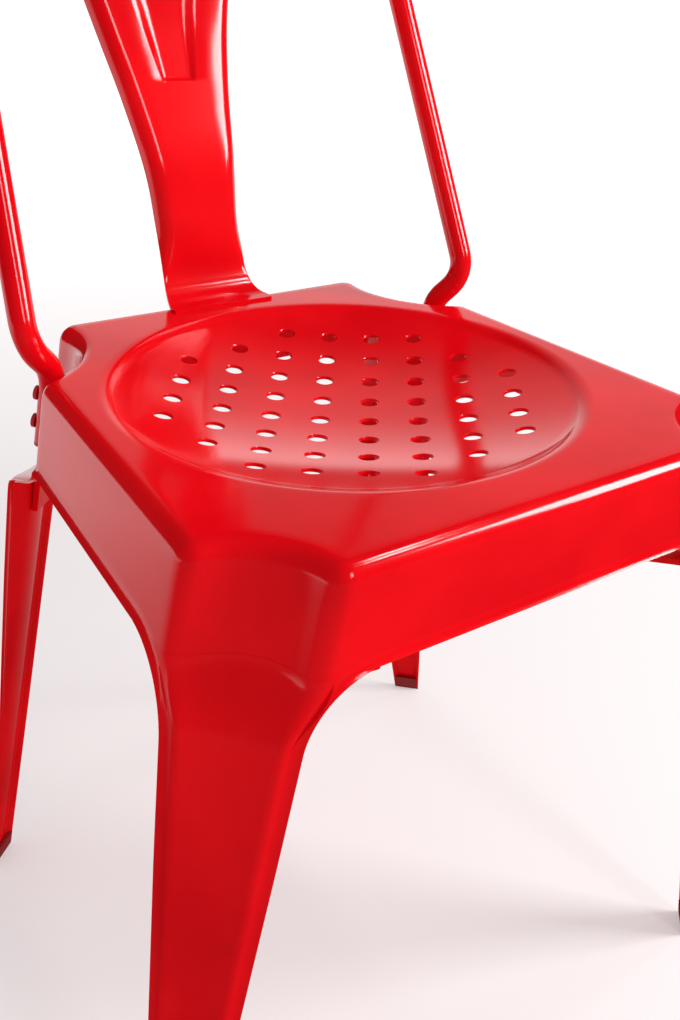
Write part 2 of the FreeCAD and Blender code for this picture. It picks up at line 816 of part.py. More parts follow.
def seat_pan():
    outside = seat_block(0, seat_height, apron_low, size("edge_radius"))
    inside = seat_block(skin, seat_height - skin, apron_low - skin, size("edge_radius") - skin)
    pan = outside.cut(dish_lens(0, seat_height))
    pan = pan.cut(inside.cut(dish_lens(skin, seat_height)))
    return pan.cut(Part.makeCompound(drain_holes())).cut(screw_holes())


# Flat braces that cross under the seat
brace_level = apron_low - size("brace_drop")


def flute_face(corner, level):
    """Middle of a leg's inner face in its flute, with the clearance of a piece against it."""
    across, along, radius = flute(level)
    centre = corner.hollow_centre(leg_apex(corner, level), across, along)
    inward = (corner.along_end + corner.along_side).normalize()
    face = centre + inward * (radius + skin + gap)
    return Vec(face.x, face.y, level)


def brace_profile(start_corner, end_corner, level):
    """Side view of a brace: a flat run with both ends turned down along the legs."""
    thick = Vec(0, 0, size("brace_thickness"))
    top = level + size("brace_thickness")
    low = level - size("brace_tab")
    start = flute_face(start_corner, top)
    end = flute_face(end_corner, top)
    start_low = flute_face(start_corner, low)
    end_low = flute_face(end_corner, low)
    run = (end - start).normalize()
    wall = run * size("brace_thickness")

    def on_run(point):
        """The point moved sideways into the brace's own plane."""
        flat = start + run * (point - start).dot(run)
        return Vec(flat.x, flat.y, point.z)

    points = [
        on_run(start_low), start, end, on_run(end_low),
        on_run(end_low) - wall, end - wall - thick, start + wall - thick, on_run(start_low) + wall,
    ]
    return Part.Face(Part.makePolygon(points + [points[0]])), run


def brace(name, start_corner, end_corner, level):
    face, run = brace_profile(start_corner, end_corner, level)
    profile = doc.addObject("Part::Feature", name + "_profile")
    profile.Shape = face
    strip = bound("Part::Extrusion", name + "_strip", LengthFwd="sizes.brace_width")
    strip.Base = profile
    strip.DirMode = "Normal"
    strip.Symmetric = True
    strip.Solid = True
    hole = bound(
        "Part::Cylinder", name + "_hole",
        Radius="sizes.rivet_radius + sizes.hole_clearance", Height="3 * sizes.brace_thickness")
    moved(hole, brace_crossing(level - size("brace_thickness")))
    return finished(cut_out(name, strip, hole))


def brace_crossing(level):
    """Where the two braces cross, at the given level."""
    first = [flute_face(corners["front_right"], level), flute_face(corners["rear_left"], level)]
    slope = (first[1].y - first[0].y) / (first[1].x - first[0].x)
    return FreeCAD.Placement(Vec(0, first[0].y - slope * first[0].x, level), FreeCAD.Rotation())


def dome(name, place, facing):
    """Domed rivet head with its flat side on the place; facing is 1 along +Z and -1 against it."""
    radius = "sizes.rivet_head_radius"
    height = "sizes.rivet_head_height"
    ball = f"({radius} ^ 2 + {height} ^ 2) / (2 * {height})"
    head = bound("Part::Sphere", name, Radius=ball, Angle1=f"asin(1 - {height} / ({ball}))")
    rise = size("rivet_head_height")
    centre = rise - (size("rivet_head_radius") ** 2 + rise ** 2) / (2 * rise)
    turn = FreeCAD.Placement(Vec(0, 0, 0), FreeCAD.Rotation(Vec(1, 0, 0), 0 if facing > 0 else 180))
    return moved(head, place, turn, lift(centre))


def rivet(name, place, grip, grip_formula):
    """Rivet along +Z of its place, with a domed head at each end of its grip."""
    shaft = bound("Part::Cylinder", name + "_shaft", Radius="sizes.rivet_radius", Height=grip_formula)
    moved(shaft, place)
    near = dome(name + "_near", place, -1)
    far = dome(name + "_far", place.multiply(lift(grip)), 1)
    return joined(name, [shaft, near, far])


def hoop_screw(name, place):
    """Pan-head screw with a six-sided socket."""
    head = bound(
        "Part::Cylinder", name + "_head",
        Radius="sizes.screw_head_radius", Height="sizes.screw_head_height")
    moved(head, place, lift(-size("screw_head_height")))
    socket = bound(
        "Part::Prism", name + "_socket",
        Circumradius="sizes.socket_radius", Height="sizes.socket_depth")
    moved(socket, place, lift(-size("screw_head_height")))
    shaft = bound(
        "Part::Cylinder", name + "_shaft", Radius="sizes.screw_radius",
        Height="2 * sizes.tube_radius + 4 * sizes.fit_gap + 3 * sizes.skin"
               " + sizes.washer_height + sizes.nut_height")
    moved(shaft, place)
    return cut_out(name, joined(name + "_body", [head, shaft]), socket)


def ring(name, kind, place, height_formula, **outside):
    """Washer or nut with the screw's bore."""
    body = bound(kind, name + "_body", Height=height_formula, **outside)
    bore = bound("Part::Cylinder", name + "_bore", Radius="sizes.screw_radius", Height=height_formula)
    moved(body, place)
    moved(bore, place)
    return cut_out(name, body, bore)


def hoop_plug(name, side):
    """Plug in the tube's lower end: a rim under the tube and a stem inside it."""
    place = tube_end(side)
    rim = bound("Part::Cylinder", name + "_rim", Radius="sizes.tube_radius", Height="sizes.plug_rim")
    moved(rim, place, lift(-size("plug_rim")))
    stem = bound(
        "Part::Cylinder", name + "_stem",
        Radius="sizes.tube_radius - sizes.tube_wall", Height="sizes.plug_stem")
    moved(stem, place)
    return finished(joined(name, [rim, stem]))


def back_hoop():
    """Tube bent along its path, drilled for the screws and the splat's rivets."""
    route = doc.addObject("Part::Feature", "hoop_route")
    crank = size("hoop_crank_radius")
    top = size("hoop_top_radius")
    route.Shape = rounded_path(hoop_corners(), [crank, crank, top, top, crank, crank])
    end = tube_end(1)
    sweeps = []
    for name, wall in (("hoop_outside", "0"), ("hoop_bore", "sizes.tube_wall")):
        circle = bound("Part::Circle", name + "_circle", Radius="sizes.tube_radius - " + wall)
        moved(circle, end)
        sweep = doc.addObject("Part::Sweep", name)
        sweep.Sections = [circle]
        sweep.Spine = (route, [f"Edge{number}" for number in range(1, len(route.Shape.Edges) + 1)])
        sweep.Solid = True
        sweep.Transition = "Round corner"
        sweeps.append(sweep)
    tube = cut_out("hoop_tube", *sweeps)
    drills = doc.addObject("Part::Feature", "hoop_drills")
    drills.Shape = Part.makeCompound([screw_holes(), splat_rivet_holes()])
    return finished(cut_out("back_hoop", tube, drills))


# Build every sub-part
add_piece("seat_pan", seat_pan())
for name, corner in corners.items():
    leg_shape = leg(corner)
    if corner.end > 0:
        leg_shape = leg_shape.cut(screw_holes())
    add_piece("leg_" + name, leg_shape)
    add_piece("glide_" + name, glide(corner))
back_hoop()
add_piece("back_splat", back_splat())
upper = brace("brace_upper", corners["front_right"], corners["rear_left"], brace_level)
lower_level = brace_level - size("brace_thickness")
lower = brace("brace_lower", corners["front_left"], corners["rear_right"], lower_level)
brace_grip = 2 * size("brace_thickness")
finished(rivet("brace_rivet", brace_crossing(lower_level), brace_grip, "2 * sizes.brace_thickness"))
splat_grip = "2 * sizes.tube_radius + 2 * sizes.fit_gap + sizes.skin"
rivets = []
for number, place in enumerate(splat_rivet_places(), start=1):
    rivets.append(rivet(f"splat_rivet_{number}", place, tube_stack + gap + skin, splat_grip))
finished(grouped("splat_rivets", rivets))
screws = []
washers = []
nuts = []
for number, place in enumerate(screw_places(), start=1):
    screws.append(hoop_screw(f"hoop_screw_{number}", place))
    washer_place = place.multiply(lift(screw_stack))
    washers.append(ring(
        f"hoop_washer_{number}", "Part::Cylinder", washer_place, "sizes.washer_height",
        Radius="sizes.washer_radius"))
    nut_place = washer_place.multiply(lift(size("washer_height")))
    nuts.append(ring(
        f"hoop_nut_{number}", "Part::Prism", nut_place, "sizes.nut_height",
        Circumradius="sizes.nut_radius"))
finished(grouped("hoop_screws", screws))
finished(grouped("hoop_washers", washers))
finished(grouped("hoop_nuts", nuts))
hoop_plug("hoop_plug_left", -1)
hoop_plug("hoop_plug_right", 1)
doc.recompute()

# The origin goes to the floor under the middle of the whole chair's box
box = FreeCAD.BoundBox()
for piece in pieces:
    box.add(piece.Shape.optimalBoundingBox(False, False))
to_origin = FreeCAD.Placement(Vec(-box.Center.x, -box.Center.y, -box.ZMin), FreeCAD.Rotation())
print("seat middle from origin", round(to_origin.Base.y, 3), "box", box)
for piece in pieces:
    piece.Placement = to_origin.multiply(piece.Placement)
doc.recompute()

# Every object has to be sound before anything is written
for item in doc.Objects:
    if "Invalid" in item.State or "Error" in item.State:
        raise RuntimeError(f"{item.Name} failed: {item.State}")
for piece in pieces:
    if piece.Shape.isNull() or not piece.Shape.isValid():
        raise RuntimeError(f"{piece.Label} has no valid shape")

os.makedirs("parts", exist_ok=True)
for piece in pieces:
    piece.Shape.exportStep("parts/" + piece.Label + ".step")
    print(piece.Label, len(piece.Shape.Solids), round(piece.Shape.Volume))
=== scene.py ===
import json
import math

import bpy
from mathutils import Matrix, Vector


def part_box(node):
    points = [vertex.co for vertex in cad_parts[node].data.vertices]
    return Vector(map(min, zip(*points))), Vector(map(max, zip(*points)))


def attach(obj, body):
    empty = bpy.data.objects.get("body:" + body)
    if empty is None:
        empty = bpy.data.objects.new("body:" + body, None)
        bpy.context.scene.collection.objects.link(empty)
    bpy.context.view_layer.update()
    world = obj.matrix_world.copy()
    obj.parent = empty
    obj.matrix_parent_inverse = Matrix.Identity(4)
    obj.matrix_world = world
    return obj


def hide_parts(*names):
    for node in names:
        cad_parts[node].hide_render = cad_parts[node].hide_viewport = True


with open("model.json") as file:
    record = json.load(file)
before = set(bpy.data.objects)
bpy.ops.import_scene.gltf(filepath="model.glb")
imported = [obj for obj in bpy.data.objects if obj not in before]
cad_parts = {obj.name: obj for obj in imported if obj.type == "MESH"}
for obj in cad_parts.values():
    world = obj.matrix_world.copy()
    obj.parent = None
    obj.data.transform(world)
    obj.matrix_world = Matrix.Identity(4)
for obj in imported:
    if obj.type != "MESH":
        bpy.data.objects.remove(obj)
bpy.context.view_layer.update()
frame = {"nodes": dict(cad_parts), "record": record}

mm = 0.001
weldGap = 0.02 * mm  # points nearer than this become one

# The seat's middle is the plan origin of every outline below
seatLow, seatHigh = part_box("seat_pan")
seatMiddle = (seatLow.y + seatHigh.y) / 2
print("Frame loaded, seat middle at", round(seatMiddle, 4))


def deselectAll():
    if bpy.context.object and bpy.context.object.mode != "OBJECT":
        bpy.ops.object.mode_set(mode="OBJECT")
    bpy.ops.object.select_all(action="DESELECT")


def makeActive(item):
    deselectAll()
    item.select_set(True)
    bpy.context.view_layer.objects.active = item


def applyAll(item):
    makeActive(item)
    for modifier in list(item.modifiers):
        bpy.ops.object.modifier_apply(modifier=modifier.name)


def gridPiece(name, columns, rows, place):
    # A plain grid whose points are laid on the pressed shape, column by column and row by row
    deselectAll()
    bpy.ops.mesh.primitive_grid_add(x_subdivisions=columns - 1, y_subdivisions=rows - 1, size=1)
    item = bpy.context.object
    item.name = name
    item.data.name = name
    item.matrix_world = Matrix.Identity(4)
    for index, vertex in enumerate(item.data.vertices):
        vertex.co = place(index % columns, index // columns)
    return item


def weldSeams(item):
    makeActive(item)
    bpy.ops.object.mode_set(mode="EDIT")
    bpy.ops.mesh.select_all(action="SELECT")
    bpy.ops.mesh.remove_doubles(threshold=weldGap)
    bpy.ops.object.mode_set(mode="OBJECT")


def faceOutwards(item, isOutside):
    # Flips the sheet when its first fair-sized face looks the wrong way
    fairArea = mm * mm / 10
    for face in item.data.polygons:
        if face.area > fairArea:
            if not isOutside(face.center, face.normal):
                makeActive(item)
                bpy.ops.object.mode_set(mode="EDIT")
                bpy.ops.mesh.select_all(action="SELECT")
                bpy.ops.mesh.flip_normals()
                bpy.ops.object.mode_set(mode="OBJECT")
            return


def thicken(item, thickness):
    wall = item.modifiers.new("wall", "SOLIDIFY")
    wall.thickness = thickness
    wall.offset = -1
    wall.use_even_offset = True
    wall.use_quality_normals = True
    applyAll(item)


def smoothShade(item, angle):
    makeActive(item)
    bpy.ops.object.shade_smooth_by_angle(angle=math.radians(angle))


def mix(a, b, share):
    return a + (b - a) * share


def easeInOut(share):
    share = min(max(share, 0), 1)
    return share * share * (3 - 2 * share)


# Sizes shared by seat and legs, in metres
chair = {
    "seatHeight": 460 * mm,
    "frontHalf": 173 * mm,
    "rearHalf": 157 * mm,
    "halfDepth": 180 * mm,
    "apronLow": 405 * mm,
    "draft": 0.2,
    "skin": 2 * mm,
    "archRadius": 45 * mm,
    "kneeLevel": 369 * mm,
    "soleTop": 4 * mm,
    "splaySide": 0.14,
    "splayFront": 0.01,
    "splayRear": 0.03,
    "footWidth": 17 * mm,
    "kneeWidth": 46.5 * mm,
    "lipWidth": 6.5 * mm,
    "lipOut": 3 * mm,
    "lipTaper": 0.01,  # the hem's flare over its height above the floor, at most
    "edgeGaps": [0, 0.7, 1.5, 2.5, 3.7, 5, 6.6],  # rows beside a hem, in millimetres
    "scoopBend": 11 * mm,
    "frontScoop": {"across": 0, "along": 0, "radius": 50 * mm},
    "rearScoop": {"across": -37 * mm, "along": 25 * mm, "radius": 77 * mm},
    "bendSteps": 7,
    "hollowSteps": 16,
    "faceSlack": 0.01 * mm,
}


def halfWidth(y):
    slope = (chair["frontHalf"] - chair["rearHalf"]) / (2 * chair["halfDepth"])
    return (chair["frontHalf"] + chair["rearHalf"]) / 2 - slope * y


def tipAt(side, end, level):
    # The apron's sides lean out below the rim
    lean = chair["draft"] * (chair["seatHeight"] - level)
    return Vector((side * (halfWidth(end * chair["halfDepth"]) + lean), end * chair["halfDepth"]))


def makeCorner(side, end):
    tip = tipAt(side, end, chair["seatHeight"])
    other = tipAt(side, -end, chair["seatHeight"])
    alongEnd = Vector((-side, 0))
    alongSide = (other - tip).normalized()
    intoSide = Vector((-alongSide.y, alongSide.x))
    if intoSide.x * side > 0:
        intoSide = -intoSide
    return {
        "side": side, "end": end, "alongEnd": alongEnd, "alongSide": alongSide,
        "intoEnd": Vector((0, -end)), "intoSide": intoSide,
        "scoop": chair["rearScoop"] if end > 0 else chair["frontScoop"],
    }


corners = {
    "front_left": makeCorner(-1, -1),
    "front_right": makeCorner(1, -1),
    "rear_right": makeCorner(1, 1),
    "rear_left": makeCorner(-1, 1),
}


def profile(corner, tip, across, along, radius, bend, offset):
    # From the end face round the hollow to the side face, as plan points
    centre = tip + corner["alongEnd"] * across + corner["alongSide"] * along

    def bendCentre(direction, normal):
        start = tip + normal * bend - centre
        reach = start.dot(direction)
        root = math.sqrt(reach ** 2 - (start.dot(start) - (radius + bend) ** 2))
        return tip + normal * bend + direction * (root - reach)

    first = bendCentre(corner["alongEnd"], corner["intoEnd"])
    last = bendCentre(corner["alongSide"], corner["intoSide"])
    small = bend - offset
    large = radius + offset

    def sweep(middle, size, fromDirection, toDirection, steps):
        turn = fromDirection.angle_signed(toDirection)
        points = []
        for step in range(steps + 1):
            angle = -turn * step / steps
            direction = Vector((
                fromDirection.x * math.cos(angle) - fromDirection.y * math.sin(angle),
                fromDirection.x * math.sin(angle) + fromDirection.y * math.cos(angle)))
            points.append(middle + direction * size)
        return points

    firstIn = (centre - first).normalized()
    lastIn = (centre - last).normalized()
    points = sweep(first, small, -corner["intoEnd"], firstIn, chair["bendSteps"])
    points += sweep(centre, large, -firstIn, -lastIn, chair["hollowSteps"])[1:]
    points += sweep(last, small, lastIn, -corner["intoSide"], chair["bendSteps"])[1:]
    return points


def flangeWidth(level):
    return mix(chair["footWidth"], chair["kneeWidth"], level / chair["kneeLevel"])


def legApex(corner, level):
    drop = max(0, chair["apronLow"] - level)
    foreAft = chair["splayFront"] if corner["end"] < 0 else chair["splayRear"]
    start = tipAt(corner["side"], corner["end"], max(level, chair["apronLow"]))
    return start + Vector((corner["side"] * chair["splaySide"], corner["end"] * foreAft)) * drop


def freeEdge(corner, along):
    # Straight leg edge, then an arch that runs out level along the apron's lower edge
    axis = 0 if along == "end" else 1
    high = chair["apronLow"]

    def reachAt(level):
        return abs(legApex(corner, level)[axis]) - flangeWidth(level)

    low = Vector((reachAt(0), 0))
    knee = Vector((reachAt(chair["kneeLevel"]), chair["kneeLevel"]))
    up = (knee - low).normalized()
    meet = low + up * ((high - low.y) / up.y)
    halfTurn = up.angle(Vector((-1, 0))) / 2
    radius = chair["archRadius"]
    cut = radius * math.tan(halfTurn)
    archLow = meet - up * cut
    archHigh = meet + Vector((-1, 0)) * cut
    centre = archHigh - Vector((0, radius))
    return {"low": low, "up": up, "archLow": archLow, "centre": centre, "radius": radius}


def edgeReach(edge, level):
    if level <= edge["archLow"].y:
        return edge["low"].x + edge["up"].x / edge["up"].y * (level - edge["low"].y)
    rise = min(level - edge["centre"].y, edge["radius"])
    return edge["centre"].x + math.sqrt(max(edge["radius"] ** 2 - rise ** 2, 0))


def edgeGap(edge, reach, level):
    # How far a point of the sheet lies from the free edge
    if reach <= edge["centre"].x:
        return level - chair["apronLow"]
    if level <= edge["archLow"].y:
        return (reach - edgeReach(edge, level)) * edge["up"].y
    return (Vector((reach, level)) - edge["centre"]).length - edge["radius"]


def lipOut(gap, level):
    # The hem's flare, which fades towards the foot
    share = max(1 - gap / chair["lipWidth"], 0)
    return min(chair["lipOut"], chair["lipTaper"] * level) * share * share


edges = {}
for cornerName, corner in corners.items():
    for along in ("end", "side"):
        edges[cornerName, along] = freeEdge(corner, along)


# Seat pan: apron, rolled rim, flat rim and drained dish in one pressed sheet
seat = {
    "edgeRadius": 9 * mm,
    "dishCentre": Vector((0, 2 * mm)),
    "dishRim": 149 * mm,
    "dishStep": 139 * mm,
    "stepDrop": 3 * mm,
    "dishDepth": 22 * mm,
    "drainRadius": 5.5 * mm,
    "drainFlare": 0.5 * mm,
    "drainPitch": 29.8 * mm,
    "drainTurn": math.radians(-35),
    "drainRows": 8,
    "drainsCut": 2,  # rows by which the grid's corners are cut
    "drainSides": 32,
    "punchReach": 10 * mm,
    "wallRows": [10, 18, 28, 38],  # rows up the apron above its hem, in millimetres
    "edgeSteps": 9,
    "rimShares": (0.12, 0.3, 0.5, 0.7, 0.88),
    "stepSteps": 12,
    "bowlSteps": 30,
    "sideSteps": 34,
}


def joinUp(start, finish, last):
    # Points on the straight side between two corners
    return [start.lerp(finish, step / seat["sideSteps"]) for step in range(1, last + 1)]


def seatRing(offset, level):
    # One closed ring of plan points; the last repeats the first
    ring = []
    for cornerName in ("front_left", "front_right", "rear_right", "rear_left"):
        corner = corners[cornerName]
        scoop = corner["scoop"]
        tip = tipAt(corner["side"], corner["end"], level)
        points = profile(
            corner, tip, scoop["across"], scoop["along"], scoop["radius"], chair["scoopBend"], offset)
        if cornerName in ("front_left", "rear_right"):
            points = points[::-1]
        if ring:
            ring += joinUp(ring[-1], points[0], seat["sideSteps"] - 1)
        ring += points
    return ring + joinUp(ring[-1], ring[0], seat["sideSteps"])


def apronLip(point, level):
    # Outward flare of the apron's lower edge, in plan
    nearest = None
    for cornerName, corner in corners.items():
        tip = tipAt(corner["side"], corner["end"], level)
        for along, into in (("end", corner["intoEnd"]), ("side", corner["intoSide"])):
            if abs((point - tip).dot(into)) > chair["faceSlack"]:
                continue
            reach = abs(point.x) if along == "end" else abs(point.y)
            sameHalf = point.x * corner["side"] >= 0 if along == "end" else point.y * corner["end"] >= 0
            if sameHalf:
                nearest = -into * lipOut(edgeGap(edges[cornerName, along], reach, level), level)
    return nearest or Vector((0, 0))


def bowlSphere():
    # Radius of the sphere that the bowl is a cap of
    deep = seat["dishDepth"] - seat["stepDrop"]
    return (seat["dishStep"] ** 2 + deep ** 2) / (2 * deep)


def bowlDrop(radius):
    # How far the bowl lies below the flat rim at a radius
    sphere = bowlSphere()
    edge = math.sqrt(sphere ** 2 - seat["dishStep"] ** 2)
    return seat["stepDrop"] + math.sqrt(sphere ** 2 - radius ** 2) - edge


def dishProfile():
    # Radius and drop from the flat rim's inner edge to the middle of the dish
    stations = []
    for index in range(seat["stepSteps"] + 1):
        share = index / seat["stepSteps"]
        stations.append((mix(seat["dishRim"], seat["dishStep"], share), seat["stepDrop"] * share ** 2))
    for index in range(1, seat["bowlSteps"] + 1):
        radius = seat["dishStep"] * (1 - index / seat["bowlSteps"])
        stations.append((radius, bowlDrop(radius)))
    return stations


def seatRows():
    # Rings from the hem up the apron, over the rounded edge, across the rim and down into the dish
    radius = seat["edgeRadius"]
    top = chair["seatHeight"]
    rows = []
    for rise in chair["edgeGaps"] + seat["wallRows"]:
        level = chair["apronLow"] + rise * mm
        rows.append([(point + apronLip(point, level), level) for point in seatRing(0, level)])
    for index in range(seat["edgeSteps"] + 1):
        angle = math.pi / 2 * index / seat["edgeSteps"]
        level = top - radius + radius * math.sin(angle)
        ring = seatRing(radius * (1 - math.cos(angle)), level)
        rows.append([(point, level) for point in ring])
    inner = seatRing(radius, top)
    centre = seat["dishCentre"]
    outward = [(point - centre).normalized() for point in inner]
    circle = [centre + way * seat["dishRim"] for way in outward]
    for share in seat["rimShares"]:
        rows.append([(a.lerp(b, share), top) for a, b in zip(inner, circle)])
    for ringRadius, drop in dishProfile():
        rows.append([(centre + way * ringRadius, top - drop) for way in outward])
    return rows


def buildSeat():
    rows = seatRows()

    def place(column, row):
        point, level = rows[row][column]
        return Vector((point.x, point.y + seatMiddle, level))

    pan = gridPiece("seatPan", len(rows[0]), len(rows), place)
    weldSeams(pan)
    faceOutwards(pan, lambda centre, normal: normal.x * centre.x + normal.y * (centre.y - seatMiddle) > 0)
    thicken(pan, chair["skin"])
    punches = buildPunches()
    cut = pan.modifiers.new("drains", "BOOLEAN")
    cut.object = punches
    cut.solver = "EXACT"
    applyAll(pan)
    bpy.data.objects.remove(punches)
    smoothShade(pan, 35)
    return pan


def drainSpots():
    # Hole centres from the dish's centre: a square grid without its corners, turned
    middle = (seat["drainRows"] - 1) / 2
    farthest = math.hypot(middle, middle - seat["drainsCut"]) + 0.01
    turn = seat["drainTurn"]
    spots = []
    for column in range(seat["drainRows"]):
        for line in range(seat["drainRows"]):
            across = column - middle
            along = line - middle
            if math.hypot(across, along) <= farthest:
                spots.append((
                    seat["drainPitch"] * (across * math.cos(turn) - along * math.sin(turn)),
                    seat["drainPitch"] * (across * math.sin(turn) + along * math.cos(turn))))
    return spots


def buildPunch(x, y):
    # One punch with a flared upper part, square to the dish
    radius = seat["drainRadius"]
    flare = seat["drainFlare"]
    deselectAll()
    bpy.ops.mesh.primitive_cylinder_add(
        vertices=seat["drainSides"], radius=radius, depth=2 * seat["punchReach"], end_fill_type="NGON")
    punch = bpy.context.object
    makeActive(punch)
    bpy.ops.object.mode_set(mode="EDIT")
    for cut in (-flare, flare):
        bpy.ops.mesh.select_all(action="SELECT")
        bpy.ops.mesh.bisect(plane_co=(0, 0, cut), plane_no=(0, 0, 1))
    bpy.ops.object.mode_set(mode="OBJECT")
    for vertex in punch.data.vertices:
        if vertex.co.z > flare / 2:
            wide = (radius + 2 * flare) / radius
            vertex.co.x *= wide
            vertex.co.y *= wide
    normal = Vector((-x, -y, math.sqrt(bowlSphere() ** 2 - x * x - y * y)))
    spin = normal.to_track_quat("Z", "Y").to_matrix().to_4x4()
    level = chair["seatHeight"] - bowlDrop(math.hypot(x, y))
    spot = Vector((seat["dishCentre"].x + x, seat["dishCentre"].y + y + seatMiddle, level))
    punch.data.transform(Matrix.Translation(spot) @ spin)
    return punch


def buildPunches():
    punches = [buildPunch(x, y) for x, y in drainSpots()]
    deselectAll()
    for punch in punches:
        punch.select_set(True)
    bpy.context.view_layer.objects.active = punches[0]
    bpy.ops.object.join()
    return bpy.context.object


# Legs: fluted sheet channels whose wings run out along the apron
leg = {
    "fluteKnee": 37.5 * mm,
    "fluteFoot": 9.5 * mm,
    "fluteOut": 19 * mm,
    "bend": 5.5 * mm,
    "tuck": 2.3 * mm,
    "tongue": 34 * mm,
    "seam": 0.1 * mm,
    "archFrom": 340 * mm,
    "shaftSteps": 22,
    "archSteps": 26,
    "flatSteps": 8,
    "leastFlat": 0.5 * mm,
    "edgeShare": 0.7,  # most of a flange that the rows beside its hem take up
}


def legHollow(corner, level):
    # Centre, radius and bend of the leg's hollow at a level
    sole = chair["soleTop"]
    knee = chair["kneeLevel"]
    share = (min(level, knee) - sole) / (knee - sole)
    reach = mix(leg["fluteFoot"], leg["fluteKnee"], share)
    out = leg["fluteOut"]
    low = (-out, -out, math.hypot(reach + out, out), leg["bend"])
    if level <= knee:
        return low
    scoop = corner["scoop"]
    high = (scoop["across"], scoop["along"], scoop["radius"], chair["scoopBend"])
    blend = easeInOut((level - knee) / (chair["apronLow"] - knee))
    return tuple(mix(a, b, blend) for a, b in zip(low, high))


def legColumns(cornerName, level, inset):
    # Plan points of the leg's outside at one level, from the end flange's edge to the side flange's
    corner = corners[cornerName]
    apex = legApex(corner, level)
    across, along, radius, bend = legHollow(corner, level)
    points = profile(corner, apex, across, along, radius, bend, inset)
    gaps = [gap * mm for gap in chair["edgeGaps"]]
    flats = []
    for way, along, into, start in (
            (corner["alongEnd"], "end", corner["intoEnd"], points[0]),
            (corner["alongSide"], "side", corner["intoSide"], points[-1])):
        edge = edges[cornerName, along]
        axis = 0 if along == "end" else 1
        startReach = abs(start[axis])
        endReach = min(edgeReach(edge, level), startReach - leg["leastFlat"])
        longest = (startReach - endReach) * leg["edgeShare"]
        run = [endReach + min(gap, longest * gap / gaps[-1]) for gap in gaps]
        hemEnd = run[-1]
        for step in range(1, leg["flatSteps"]):
            run.append(mix(hemEnd, startReach, step / leg["flatSteps"]))
        flat = []
        for reach in run:
            point = start + way * ((startReach - reach) / abs(way[axis]))
            gap = max(edgeGap(edge, reach, level), 0)
            flat.append(point - into * (0 if inset else lipOut(gap, level)))
        flats.append(flat)
    return flats[0] + points + flats[1][::-1]


def legLevels():
    # Level and inset of each row, closer together up the arch
    top = chair["apronLow"]
    rows = []
    for step in range(leg["shaftSteps"]):
        rows.append((mix(chair["soleTop"], leg["archFrom"], step / leg["shaftSteps"]), 0))
    for step in range(leg["archSteps"] + 1):
        share = math.sin(math.pi / 2 * step / leg["archSteps"])
        rows.append((mix(leg["archFrom"], top - leg["seam"], share), 0))
    # Above the seam the sheet steps in and runs up behind the apron
    rows.append((top, leg["tuck"] / 2))
    for rise in (2 * leg["seam"], leg["tongue"] / 2, leg["tongue"]):
        rows.append((top + rise, leg["tuck"]))
    return rows


def buildLeg(cornerName):
    rows = [(level, legColumns(cornerName, level, inset)) for level, inset in legLevels()]

    def place(column, row):
        level, points = rows[row]
        return Vector((points[column].x, points[column].y + seatMiddle, level))

    corner = corners[cornerName]
    outward = Vector((corner["side"], corner["end"], 0))
    name = "leg" + "".join(word.capitalize() for word in cornerName.split("_"))
    shell = gridPiece(name, len(rows[0][1]), len(rows), place)
    faceOutwards(shell, lambda centre, normal: normal.dot(outward) > 0)
    thicken(shell, chair["skin"])
    smoothShade(shell, 40)
    return shell


# Back splat: flared blade with rolled edges, a pressed panel and a curl onto the seat
splat = {
    "neckWidth": 65 * mm,
    "topWidth": 186 * mm,
    "baseWidth": 78 * mm,
    "curlRadius": 22 * mm,
    "curlStart": 171 * mm,
    "flap": 9 * mm,
    "edgeRadius": 11.5 * mm,
    "openFrom": 6 * mm,  # from the curl's start on the seat up the sheet to where the roll begins
    "openTo": 75 * mm,  # and to where it is full
    "topSlope": 0.1,
    "topEdge": 5 * mm,
    "panelLow": 122 * mm,
    "panelHigh": 35 * mm,
    "panelDepth": 3 * mm,
    "panelBase": 19 * mm,
    "panelTop": 118 * mm,
    "panelWall": 4 * mm,  # panel's sloping side at its lower end
    "panelSlope": 13 * mm,  # and at its widest
    "panelSpread": 0.8,
    # Share of the way up, bow behind the straight line in millimetres, share of the widening
    "stations": [
        (0.0, 0, 0.01), (0.1, -5, 0.0), (0.2, -5, 0.045), (0.32, 4, 0.145), (0.45, 13, 0.306),
        (0.6, 14, 0.54), (0.75, 10, 0.77), (0.9, 3.4, 0.945), (1.0, 0, 1.0),
    ],
    "bladeSteps": 60,
    "endRows": 4,  # extra rows either side of each end of the panel
    "endPitch": 2 / 3 * mm,
    "slopeShare": 0.004,
    "topSteps": 3,
    "curlSteps": 12,
    "flapSteps": 5,
    "rollSteps": 6,
    "wallSteps": 5,
    "insideSteps": 6,
}

# Back hoop: tube from one rear scoop over the top to the other; the splat is fitted to it
hoop = {
    "radius": 8 * mm,
    "wall": 1.5 * mm,
    "half": 167 * mm,
    "narrowing": 0.08,
    "front": 84 * mm,
    "lean": 0.45,
    "height": 842 * mm,
    "topRadius": 112 * mm,
    "crankRadius": 24 * mm,
    "crankLow": -4 * mm,
    "crankHigh": 20 * mm,
    "endDrop": 50 * mm,
    "bearing": math.radians(46),
    "gap": 0.3 * mm,
    "ringSteps": 40,
    "arcSteps": 14,
    "runLength": 14 * mm,
}


def hoopPoint(side, level):
    rise = level - chair["seatHeight"]
    half = hoop["half"] - hoop["narrowing"] * rise
    return Vector((side * half, hoop["front"] + hoop["lean"] * rise, level))


